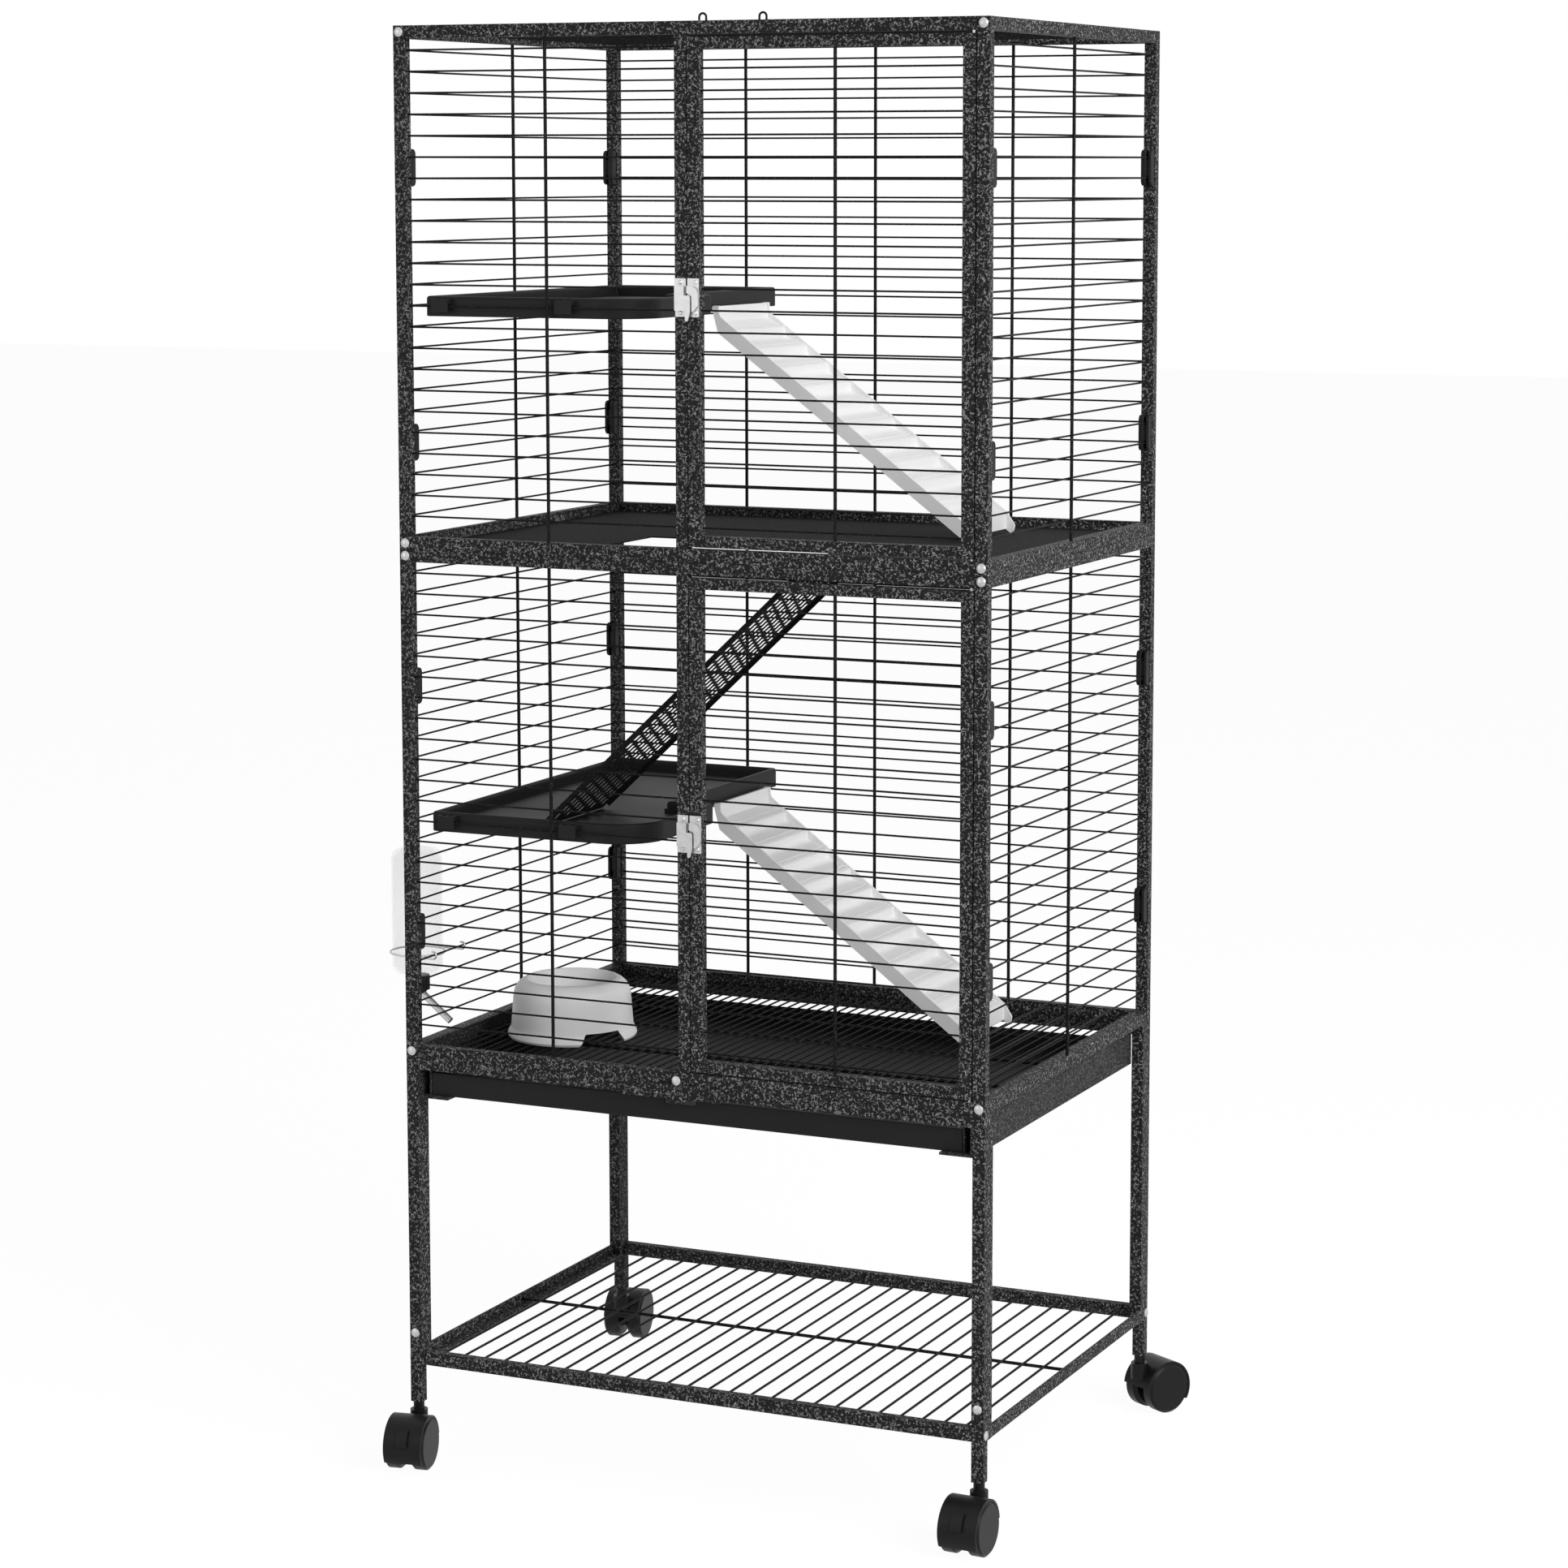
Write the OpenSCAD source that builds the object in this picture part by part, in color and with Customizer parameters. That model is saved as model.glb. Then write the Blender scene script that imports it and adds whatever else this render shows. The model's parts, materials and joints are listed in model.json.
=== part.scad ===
// Ferret cage of two stacked storeys on a rolling stand with a shelf.
// X runs to the right seen from the front, Y to the back, Z up from the floor.
// The origin is on the floor, under the middle of the footprint that the
// casters and the water bottle take up.

/* [Cage] */
// Width of the cage over its posts
cage_w = 600; // [580:5:640]
// Depth of the cage over its posts
cage_d = 440; // [430:5:480]
// Height of one storey
storey_h = 490; // [485:5:520]
// Width of a post and height of a rail
tube_w = 12; // [11.5:0.5:12.5]
// Depth of a tube from front to back
tube_d = 10; // [9.5:0.5:10.5]
// Left face of the centre stile, from the cage's left side
stile_x = 292; // [285:1:300]
// Floor surface above the underside of its storey
floor_rise = 3; // [2.5:0.25:4]
// Middle of the cage to the right of the origin
side_offset = 10; // [6:1:14]

/* [Wires] */
// Diameter of a thin wire
wire_d = 1.8; // [1.6:0.1:2]
// Diameter of a stay that the thin wires cross
stay_d = 3.2; // [3:0.1:3.4]
// How deep crossing wires sink into each other at the weld
wire_bite = 0.4; // [0.3:0.05:0.5]
// Distance between the thin wires of a side panel
wire_pitch = 19.82; // [19.4:0.02:20.2]
// Top of a storey to its highest thin wire
wire_top_drop = 22.6; // [21:0.2:24]
// Least room between the lowest wire and the storey's underside
wire_low_room = 28; // [26:0.5:31]
// Offset of the front panels' stay to the right of their middle
stay_shift = 6.5; // [-10:0.5:12]
// Offset of the doors' stay to the right of their middle
door_stay_shift = 5; // [-10:0.5:12]
// Stays on the back panel
back_stays = 3; // [2:1:4]
// How far the last of them stands right of its even place
last_stay_shift = 4.4; // [0:0.2:6]
// Side stays behind the middle on the left, and before it on the right
side_stay_shift = 5; // [0:0.5:8]
// Distance between the wires of the cage floor
floor_pitch = 11; // [10:0.5:13]
// Cross stays under the cage floor, and above the roof
cross_stays = 3; // [2:1:4]
// Distance between the wires of the shelf
shelf_pitch = 21.9; // [20:0.1:24]
// Diameter of the shelf's wires
shelf_wire_d = 2.4; // [2:0.1:2.6]
// First wire of the shelf from its left side rail
shelf_first = 16.7; // [12:0.1:20]

/* [Doors] */
// Gap between a door and the post at its hinges
door_gap = 1.5; // [1.3:0.1:2]
// Gap between a door and the centre stile
door_free_gap = 1; // [1:0.1:1.6]
// Gap above a door
door_top_gap = 2.5; // [2:0.1:3]
// Gap below a door
door_low_gap = 1.7; // [1.5:0.1:2.5]
// Width of the door's upright tubes
door_stile_w = 12; // [11:0.5:13]
// Height of the door's level tubes
door_rail_h = 10.4; // [10:0.2:11]
// Diameter of a hinge pin
pin_d = 3; // [2.6:0.2:3.4]
// Length of a hinge pin inside the door
pin_l = 7; // [5:0.5:8]
// Hinge axis in from the door's edge and front face
pin_inset = 2.6; // [2.4:0.1:3]
// Room round a pin or shaft that turns in a bore
run_gap = 0.05; // [0.03:0.01:0.09]

/* [Latches] */
// Height of the latch plates
latch_h = 35; // [32:1:38]
// Thickness of the latch plates
latch_t = 1; // [0.8:0.1:1.2]
// Thickness of the raised parts on the plates
latch_box_t = 2.2; // [2:0.1:2.6]
// Thickness of the lever
lever_t = 1.2; // [1:0.1:1.4]
// Gap between the lever and what it slides over
lever_gap = 0.25; // [0.2:0.05:0.4]
// Length of the lever's tail below the latch's middle
lever_tail = 21.5; // [19:0.5:24]
// Middle of the lower latch above its storey's underside
lower_latch_rise = 237.5; // [200:0.5:280]
// Middle of the upper latch above its storey's underside
upper_latch_rise = 241.3; // [200:0.5:280]

/* [Bolts and clips] */
// Diameter of a bolt's head
bolt_head_d = 8.8; // [7:0.2:9.4]
// Height of a bolt's head
bolt_head_h = 2.4; // [2:0.1:2.8]
// Diameter of a bolt's shank
bolt_d = 4; // [3:0.5:4.5]
// Length of a bolt's shank
bolt_l = 7; // [5:0.5:8]
// Bolts from the ends of their storey
bolt_end = 6; // [5.5:0.5:6.5]
// Height of a corner clip
clip_h = 35; // [32:1:37]
// Reach of a corner clip past its post
clip_reach = 10; // [8:0.5:12]
// Wires above the clips at the top of a storey
clip_top_row = 5.5; // [4.5:1:7.5]
// Wires above the lower clips of the lower storey
clip_low_row = 17.5; // [14.5:1:19.5]
// Wires above the lower clips of the upper storey
clip_high_row = 18.5; // [14.5:1:19.5]

/* [Roof loops] */
// Wire of the loops on the roof's front rail
loop_wire_d = 2; // [1.6:0.1:2.2]
// Middle radius of a loop
loop_r = 3.5; // [3.3:0.1:4]
// Straight legs of a loop
loop_leg = 3; // [2.8:0.1:4]
// Left loop from the cage's left side
loop_x = 319; // [310:1:330]
// Distance between the loops
loop_gap_x = 60; // [50:1:70]

/* [Mid floor] */
// Thickness of the floor sheet
sheet_t = 1.5; // [1:0.1:2]
// Left edge of the hatch
hatch_x = 172.5; // [165:0.5:185]
// Width of the hatch
hatch_w = 228; // [200:0.5:230]
// Front edge of the hatch
hatch_y = 17; // [15:1:24]
// Depth of the hatch
hatch_d = 170; // [160:1:175]

/* [Hatch ramp] */
// Width of the perforated ramp
perf_w = 133; // [126:1:134]
// Front side of the perforated ramp
perf_y = 19.5; // [19:0.5:24]
// Slope of the perforated ramp in degrees
perf_slope = 43.1; // [42.5:0.1:43.8]
// Head of the perforated ramp past the hatch's right edge
perf_past = 10; // [6:0.5:14]
// Head of the perforated ramp below its storey's top
perf_drop = 2.2; // [1.8:0.1:4]
// Thickness of its sheet
perf_t = 0.9; // [0.8:0.1:1.2]
// Height of its side flanges
perf_flange = 4.5; // [4:0.5:6]
// Length of a slot
slot_l = 9; // [7:0.2:9.4]
// Width of a slot
slot_w = 8.6; // [7:0.2:9]
// Distance between slots along the ramp
slot_pitch_l = 11.7; // [11.4:0.1:12.4]
// Distance between rows of slots
slot_pitch_w = 12.1; // [11.6:0.1:12.4]
// Rows of slots
slot_rows = 10; // [8:1:10]
// Room between the ramp's foot and the platform
perf_foot_gap = 0.5; // [0.4:0.1:0.8]

/* [Platforms] */
// Underside of a platform above its storey's underside
plat_rise = 220; // [214:1:222]
// Height of a platform
plat_h = 19; // [17:1:21]
// Left side of a platform from the cage's left side
plat_x = 25.5; // [24:0.5:28]
// Front side of a platform from the cage's front
plat_y = 9; // [8.5:0.5:10]
// Width of the platform's front part
plat_w = 226.5; // [222:0.5:230]
// Width of the platform's narrow back part
plat_back_w = 184.5; // [180:0.5:188]
// Depth of the platform's wide front part
plat_front_d = 152; // [145:1:160]
// Whole depth of a platform
plat_d = 386; // [380:1:400]
// Width of the rim round a platform
plat_rim = 8; // [7:0.5:9]
// Width of the ledge inside the rim
plat_ledge = 2; // [1.5:0.5:3]
// Height of the ledge above the platform's floor
plat_ledge_h = 4; // [3:0.5:5]
// Depth of the hollow inside the rim
plat_hollow = 11; // [8:1:13]
// Radius of the platform's free corner
plat_r = 45; // [30:1:50]
// Radius of its other corners
plat_corner_r = 5; // [4:0.5:6]
// Wall of a platform
plat_wall = 3; // [2.5:0.1:3.5]
// Width of a platform's hook
hook_w = 17.6; // [14:0.2:20]
// Left hook from the cage's left side
hook_left_x = 44.9; // [43:0.1:60]
// Right hook from the cage's left side
hook_right_x = 175.3; // [172:0.1:190]
// Thickness of a platform's hook
hook_t = 1.7; // [1.4:0.1:1.9]

/* [Ramps] */
// Width of a ramp
ramp_w = 117; // [112:1:122]
// Front side of a ramp
ramp_y = 242; // [242:1:250]
// Slope of a ramp in degrees
ramp_slope = 36.7; // [36:0.1:38]
// Height of a ramp's side walls, square to the slope
ramp_wall_h = 13.9; // [12:0.1:15]
// Thickness of a ramp's walls
ramp_wall_t = 2.5; // [2:0.1:3]
// Steps on a ramp
ramp_steps = 10; // [8:1:12]
// Gap between a ramp's head and its platform
ramp_head_gap = 1.6; // [1.4:0.2:4]
// Head of a ramp above its storey's underside
ramp_head_rise = 225; // [221:0.5:226]
// Height of a ramp's upright head
ramp_head_h = 26.3; // [25:0.1:28]
// Room between a ramp's foot and the floor
ramp_foot_gap = 0.5; // [0.4:0.1:0.8]

/* [Food bowl] */
// Middle of the bowl from the cage's left side
bowl_x = 106; // [98:1:112]
// Middle of the bowl from the cage's front
bowl_y = 140.5; // [132:0.5:150]
// Diameter of the bowl's foot
bowl_foot_d = 127; // [122:1:132]
// Diameter of the bowl's body above the foot
bowl_body_d = 120; // [116:1:121]
// Diameter of the bowl's mouth
bowl_mouth_d = 87.5; // [84:0.5:90]
// Height of the bowl
bowl_h = 56.8; // [52:0.2:60]
// Depth of the bowl's hollow
bowl_depth = 38; // [30:1:42]
// Width of the finger notches in the foot
bowl_notch_w = 52; // [44:1:54]
// Height of the finger notches
bowl_notch_h = 11.6; // [9:0.2:13]
// Gap between the bowl and the floor wires
bowl_gap = 0.3; // [0.2:0.05:0.5]

/* [Water bottle] */
// Middle of the bottle to the left of the cage's side
bottle_out = 28; // [27:0.5:32]
// Middle of the bottle from the cage's front
bottle_y = 72; // [60:1:80]
// Diameter of the bottle
bottle_d = 50; // [46:1:51]
// Wall of the bottle
bottle_wall = 1.5; // [1.2:0.1:2]
// Height of the bottle's body
bottle_h = 126; // [110:1:135]
// Lower end of the bottle's body below the wire that its holder hangs on
bottle_drop = 26.8; // [25:0.2:28.6]
// Diameter of the cap
cap_d = 23; // [20:0.5:26]
// Height of the cap
cap_h = 18; // [16:0.5:19]
// Diameter of the spout
spout_d = 7; // [6:0.5:8]
// Wire of the bottle holder
holder_wire_d = 2; // [1.8:0.1:2.2]
// Gap between the bottle and its holder
holder_gap = 0.6; // [0.5:0.1:1]
// Wires above the one that the holder hangs on
holder_row = 19; // [18:1:19]

/* [Tray] */
// Gap between the tray and the runners' webs
tray_side_gap = 10.2; // [9:0.2:11]
// Front of the tray from the cage's front
tray_y = 6; // [4:0.5:7]
// Depth of the tray
tray_d = 413; // [350:1:416]
// Height of the tray
tray_h = 22; // [20:0.5:23]
// Wall of the tray
tray_wall = 2; // [1.6:0.1:2.4]
// Height of the runners' webs below the stand's top
runner_h = 39.4; // [38.4:0.2:40.4]
// Thickness of the runners
runner_t = 2.4; // [2:0.1:2.4]
// Width of the runners' lower flanges
runner_flange = 33; // [28:1:36]
// Gap between a runner's end and the back leg
runner_end = 1.3; // [0:0.1:2]
// Gap between the tray and the guides on the runners
guide_gap = 0.5; // [0.3:0.1:1]
// Length of the tray lock
lock_l = 108; // [100:1:114]
// Height of the tray lock's plate
lock_h = 14.5; // [14:0.5:15]
// Thickness of the tray lock
lock_t = 1.6; // [1.4:0.1:2]
// Gap between the lock and the rail behind it
lock_gap = 0.3; // [0.2:0.05:0.4]
// Bolt of the lock from the cage's left side
lock_x = 290.6; // [286:0.1:296]
// Radius of the lock's round tab
lock_tab_r = 12; // [10:0.5:13]
// Reach of the tab below the lock's plate
lock_tab_drop = 5.5; // [4.5:0.5:6]

/* [Stand] */
// Height of the stand up to the cage
stand_h = 402; // [396:1:430]
// Depth of a leg from front to back
leg_d = 20; // [19:0.5:21]
// Underside of the caster sockets above the floor
socket_z = 60; // [58:0.5:62]
// Underside of the shelf above the floor
shelf_z = 98; // [96:0.5:104]
// Height of the shelf's front and back rails
shelf_rail_h = 13; // [12:0.5:14]
// Height of the shelf's side rails
shelf_side_h = 12; // [11:0.5:14]
// Thickness of the shelf's side rails
shelf_side_t = 3; // [2.5:0.5:4]
// Front bolt of a leg above the floor
leg_bolt_z = 129; // [124:1:140]
// Side bolt of a leg above the floor
side_bolt_z = 104; // [103.5:0.5:106]

/* [Casters] */
// Diameter of a wheel
wheel_d = 50; // [48:0.5:50.5]
// Width over both wheels of a caster
wheels_w = 41; // [38:0.5:43]
// Gap between the two wheels
wheels_gap = 9; // [8.6:0.2:10]
// Axle behind the stem
trail = 23.5; // [22:0.5:25]
// Gap between the wheels and the hood
hood_gap = 0.8; // [0.7:0.1:1]
// Thickness of the hood
hood_t = 1.8; // [1.6:0.1:2]
// Hood in from the wheels' outer faces
hood_inset = 1.5; // [1:0.1:2]
// Diameter of a stem
stem_d = 10.6; // [10:0.2:11]
// Diameter of an axle
axle_d = 6; // [5:0.5:7]
// Diameter of the boss round a stem
boss_d = 17; // [16:0.5:18]
// Width of a brake lever
brake_w = 11; // [9:0.5:13]
// Turn of the front left caster in degrees
turn_fl = 190.2; // [0:0.1:360]
// Turn of the front right caster in degrees
turn_fr = 178.2; // [0:0.1:360]
// Turn of the back left caster in degrees
turn_bl = 8.5; // [0:0.1:360]
// Turn of the back right caster in degrees
turn_br = 329.8; // [0:0.1:360]

/* [Hidden] */

$fn = 48;
wire_fn = 24;
cut = 1; // how far a cutting shape runs past what it cuts

coat = [0.16, 0.16, 0.17];
black = [0.08, 0.08, 0.08];
pale = [0.80, 0.80, 0.80];
steel = [0.78, 0.78, 0.80];
clear = [0.90, 0.93, 0.95, 0.5];

// Inner faces of the frame
in_l = tube_w;
in_r = cage_w - tube_w;
in_f = tube_d;
in_b = cage_d - tube_d;

function storey_z(k) = stand_h + k * storey_h;
wires = floor((storey_h - wire_top_drop - wire_low_room) / wire_pitch) + 1;
function row_z(k, row) = storey_z(k) + storey_h - wire_top_drop - row * wire_pitch;

// Thin wires lie in the middle of the tubes, with the stays outside them
wire_in = tube_d / 2;
stay_step = (wire_d + stay_d) / 2 - wire_bite;

// Doors
stile_r = stile_x + tube_w;
door_l = stile_r + door_free_gap;
door_r = in_r - door_gap;
door_w = door_r - door_l;
function door_z(k) = storey_z(k) + tube_w + door_low_gap;
door_h = storey_h - 2 * tube_w - door_low_gap - door_top_gap;
hinge_x = door_r - pin_inset;
hinge_y = pin_inset;

// Latches: the middle of a latch is on the gap beside the door
latch_x = (stile_r + door_l) / 2;
latch_rises = [lower_latch_rise, upper_latch_rise];
function latch_z(k) = storey_z(k) + latch_rises[k];
lever_pivot_x = door_l - latch_x + 2.4;
lever_pivot_z = -2.5;
lever_pin_d = 2.4;
lever_front = -latch_t - latch_box_t - lever_gap - lever_t;
rivet_d = 4;
rivet_h = 0.9;
rivet_end = 3.6;

// Ramps: the head's upper left edge is the hinge axis
ramp_top_x = plat_x + plat_back_w + ramp_head_gap;
ramp_head_low = ramp_head_rise - ramp_head_h;
ramp_head_in = 6.5;
ramp_low_x = ramp_top_x + ramp_head_in
  + (ramp_head_low - floor_rise - ramp_foot_gap) / tan(ramp_slope);
ramp_run = (ramp_low_x - ramp_top_x - ramp_head_in) / cos(ramp_slope);

// Perforated ramp: it hangs under the floor to the right of the hatch
sheet_top = storey_z(1) + floor_rise;
perf_top_x = hatch_x + hatch_w + perf_past;
perf_top_z = storey_z(1) - perf_drop;
plat_floor_z = storey_z(0) + plat_rise + plat_h - plat_hollow;
perf_flange_in = 7;
perf_rise = perf_top_z - plat_floor_z - perf_foot_gap - perf_t * cos(perf_slope);
perf_l = perf_rise / sin(perf_slope);

// Stand and tray
shelf_wire_drop = 4;
cross_rail_z = stand_h - tube_w;
runner_low = stand_h - runner_h;
tray_z = runner_low + runner_t;
tray_l = in_l + runner_t + tray_side_gap;
tray_w = cage_w - 2 * tray_l;
lock_low = cross_rail_z - 2;
lock_bolt_z = stand_h + 4.1;
stem_x = tube_w / 2;
stem_y = tube_d / 2;
boss_top = socket_z - 8;
boss_low = wheel_d / 2 + 11;

// The cage's own corner: X from its left side, Y from its front
module cage() translate([side_offset - cage_w / 2, -cage_d / 2, 0]) children();

// ---- frame of a storey ----

module box(x0, x1, y0, y1, z0, z1)
  translate([x0, y0, z0]) cube([x1 - x0, y1 - y0, z1 - z0]);

// A round wire along X, Y or Z between two ends
module wire_x(x0, x1, y, z, d) translate([x0, y, z]) rotate([0, 90, 0])
  cylinder(d = d, h = x1 - x0, $fn = wire_fn);
module wire_y(x, y0, y1, z, d) translate([x, y0, z]) rotate([-90, 0, 0])
  cylinder(d = d, h = y1 - y0, $fn = wire_fn);
module wire_z(x, y, z0, z1, d) translate([x, y, z0])
  cylinder(d = d, h = z1 - z0, $fn = wire_fn);

// Bolts point into the cage from the front and the back
module front_bolts(z) for (x = [tube_w / 2, cage_w - tube_w / 2]) {
  translate([x, 0, z]) rotate([90, 0, 0]) children();
  translate([x, cage_d, z]) rotate([-90, 0, 0]) children();
}

module storey_bolts(k) for (z = [storey_z(k) + bolt_end, storey_z(k + 1) - bolt_end])
  front_bolts(z) children();

module leg_bolts() {
  front_bolts(leg_bolt_z) children();
  for (y = [tube_d / 2, cage_d - tube_d / 2]) {
    translate([0, y, side_bolt_z]) rotate([0, -90, 0]) children();
    translate([cage_w, y, side_bolt_z]) rotate([0, 90, 0]) children();
  }
}

module bolt_hole() translate([0, 0, -bolt_l - run_gap])
  cylinder(d = bolt_d + 2 * run_gap, h = bolt_l + run_gap + cut);

module bolt() {
  translate([0, 0, -bolt_l]) cylinder(d = bolt_d, h = bolt_l + bolt_head_h / 2);
  intersection() {
    cylinder(d = bolt_head_d, h = bolt_head_h);
    translate([0, 0, bolt_head_h - bolt_head_d * 0.75]) sphere(d = bolt_head_d * 1.5);
  }
}

module storey_posts(k) color(coat) cage() difference() {
  for (x = [0, in_r], y = [0, in_b])
    box(x, x + tube_w, y, y + tube_d, storey_z(k), storey_z(k + 1));
  storey_bolts(k) bolt_hole();
}

module level_rails(z) color(coat) cage() difference() {
  union() {
    for (y = [0, in_b]) box(in_l, in_r, y, y + tube_d, z, z + tube_w);
    for (x = [0, in_r]) box(x, x + tube_w, in_f, in_b, z, z + tube_w);
  }
  translate([lock_x, 0, lock_bolt_z]) rotate([90, 0, 0]) bolt_hole();
}

module centre_stiles() color(coat) cage() for (k = [0, 1])
  box(stile_x, stile_r, 0, tube_d, storey_z(k) + tube_w, storey_z(k + 1) - tube_w);

// ---- wire panels ----

stay_low = tube_w;
module panel_stay(k, x, y) wire_z(x, y, storey_z(k) + stay_low, storey_z(k + 1) - tube_w, stay_d);

module front_grille(k) color(coat) cage() {
  for (i = [0 : wires - 1]) wire_x(in_l, stile_x, wire_in, row_z(k, i), wire_d);
  panel_stay(k, (in_l + stile_x) / 2 + stay_shift, wire_in - stay_step);
}

module back_grille(k) color(coat) cage() {
  for (i = [0 : wires - 1]) wire_x(in_l, in_r, cage_d - wire_in, row_z(k, i), wire_d);
  for (i = [1 : back_stays])
    panel_stay(k, in_l + i * (in_r - in_l) / (back_stays + 1)
      + (i == back_stays ? last_stay_shift : 0), cage_d - wire_in + stay_step);
}

module side_grille(k, x, out) color(coat) cage() {
  for (i = [0 : wires - 1]) wire_y(x, in_f, in_b, row_z(k, i), wire_d);
  panel_stay(k, x + out * stay_step, cage_d / 2 - out * side_stay_shift);
}
module left_grille(k) side_grille(k, wire_in, -1);
module right_grille(k) side_grille(k, cage_w - wire_in, 1);

// How many wires fit a span, and where the first one lies
function wires_in(span, pitch) = floor(span / pitch);
function first_in(span, pitch) = (span - (wires_in(span, pitch) - 1) * pitch) / 2;

// Wires from front to back, counted from the left, on stays that reach from x0 to x1
module level_grille(z, first, count, pitch, d, stays, x0, x1) color(coat) cage() {
  for (i = [0 : count - 1]) wire_y(first + i * pitch, in_f, in_b, z, d);
  for (i = [1 : stays])
    wire_x(x0, x1, in_f + i * (in_b - in_f) / (stays + 1), z - (d + stay_d) / 2 + wire_bite, stay_d);
}

// The roof's wires run from left to right with its stays above them
module roof_grille() color(coat) cage() {
  z = storey_z(2) - tube_w / 2;
  deep = in_b - in_f;
  for (i = [0 : wires_in(deep, wire_pitch) - 1])
    wire_x(in_l, in_r, in_f + first_in(deep, wire_pitch) + i * wire_pitch, z, wire_d);
  for (i = [1 : cross_stays])
    wire_y(in_l + i * (in_r - in_l) / (cross_stays + 1), in_f, in_b, z + stay_step, stay_d);
}

module roof_loops() color(coat) cage() for (i = [0, 1])
  translate([loop_x + i * loop_gap_x, tube_d / 2, storey_z(2)]) {
    for (s = [-1, 1]) translate([s * loop_r, 0, 0])
      cylinder(d = loop_wire_d, h = loop_leg, $fn = wire_fn);
    translate([0, 0, loop_leg]) rotate([90, 0, 0])
      rotate_extrude(angle = 180, $fn = 48) translate([loop_r, 0])
        circle(d = loop_wire_d, $fn = wire_fn);
  }

// ---- doors ----

module door_pins(d, extra) for (k = [0, 1]) translate([hinge_x, hinge_y, 0]) {
  translate([0, 0, storey_z(k) + tube_w])
    cylinder(d = d, h = door_low_gap + pin_l + extra);
  translate([0, 0, storey_z(k + 1) - tube_w - door_top_gap - pin_l - extra])
    cylinder(d = d, h = door_top_gap + pin_l + extra);
}

module door_hinge_pins() color(steel) cage() door_pins(pin_d, 0);

module door_frame(k) color(coat) cage() difference() {
  box(door_l, door_r, 0, tube_d, door_z(k), door_z(k) + door_h);
  box(door_l + door_stile_w, door_r - door_stile_w, -cut, tube_d + cut,
      door_z(k) + door_rail_h, door_z(k) + door_h - door_rail_h);
  door_pins(pin_d + 2 * run_gap, 1);
}

module door_grille(k) color(coat) cage() {
  low = door_z(k) + door_rail_h;
  high = door_z(k) + door_h - door_rail_h;
  for (i = [0 : wires - 1])
    if (row_z(k, i) > low + wire_d && row_z(k, i) < high - wire_d)
      wire_x(door_l + door_stile_w, door_r - door_stile_w, wire_in, row_z(k, i), wire_d);
  wire_z((door_l + door_r) / 2 + door_stay_shift, wire_in - stay_step, low, high, stay_d);
}

// ---- latches, drawn about the latch's middle with the plates on the tubes' front ----

module at_latch(k) cage() translate([latch_x, 0, latch_z(k)]) children();

// A flat shape in the plane of the front, from one depth to another
module front_plate(y0, y1) translate([0, y1, 0]) rotate([90, 0, 0])
  linear_extrude(y1 - y0) children();

module rivets(x) for (z = [-latch_h / 2 + rivet_end, latch_h / 2 - rivet_end])
  translate([x, -latch_t, z]) rotate([90, 0, 0]) cylinder(d1 = rivet_d, d2 = rivet_d * 0.7, h = rivet_h);

strike_l = stile_x - latch_x + 0.8;
strike_r = stile_r - latch_x - 0.4;
keeper_l = door_l - latch_x + 0.3;
keeper_r = door_l - latch_x + door_stile_w - 0.2;

module latch_strike(k) color(steel) at_latch(k) {
  front_plate(-latch_t, 0) translate([strike_l, -latch_h / 2])
    square([strike_r - strike_l, latch_h]);
  front_plate(-latch_t - latch_box_t, -latch_t) translate([strike_l, -11.5])
    square([strike_r - strike_l - 1, 22]);
  rivets((strike_l + strike_r) / 2);
}

// Raised hook with a rounded shoulder, a slanted lower end and a slot on its left
module keeper_hood() difference() {
  translate([keeper_l, -12.4]) square([keeper_r - keeper_l, 23.2]);
  translate([keeper_r - 8, 10.8 - 8]) difference() {
    square(8 + cut);
    circle(r = 8);
  }
  polygon([[keeper_r - 5.5, -12.4 - cut], [keeper_r + cut, -12.4 - cut], [keeper_r + cut, -6.5],
           [keeper_r, -7]]);
  translate([keeper_l - cut, -12.4 - cut]) square([keeper_r - 6.4 - keeper_l + cut, 12]);
  translate([keeper_l - cut, -3]) square([keeper_r - 10 - keeper_l + cut, 7]);
  translate([keeper_r - 10.4, 0]) circle(r = 4);
}

module latch_keeper(k) color(steel) at_latch(k) difference() {
  union() {
    front_plate(-latch_t, 0) translate([keeper_l, -latch_h / 2])
      square([keeper_r - keeper_l, latch_h]);
    front_plate(-latch_t - latch_box_t, -latch_t) keeper_hood();
    rivets(keeper_r - 3.4);
    translate([lever_pivot_x, -latch_t, lever_pivot_z]) rotate([90, 0, 0])
      cylinder(d = lever_pin_d, h = latch_box_t + lever_gap + lever_t);
  }
}

// Head over the strike, a shoulder round the pivot and a tail to push
module lever_outline() {
  polygon([[-10.6, -11.8], [-10.6, 10.8], [-1.2, 10.8], [-1.2, 2], [3.7, 2], [5, 0.6],
           [5, -11.8], [3.1, -lever_tail + 1.5], [-0.1, -lever_tail + 1.5], [0, -11.8]]);
  translate([1.5, -lever_tail + 1.6]) circle(r = 1.6);
}

module latch_lever(k) color(steel) at_latch(k) difference() {
  front_plate(lever_front, lever_front + lever_t) lever_outline();
  translate([lever_pivot_x, 0, lever_pivot_z]) rotate([90, 0, 0])
    cylinder(d = lever_pin_d + 2 * run_gap, h = -lever_front + cut);
}

// ---- clips and bolts ----

clip_out = [0.6, 3.7];
clip_in = [6.3, 11.4];
clip_r = 5;

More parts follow.
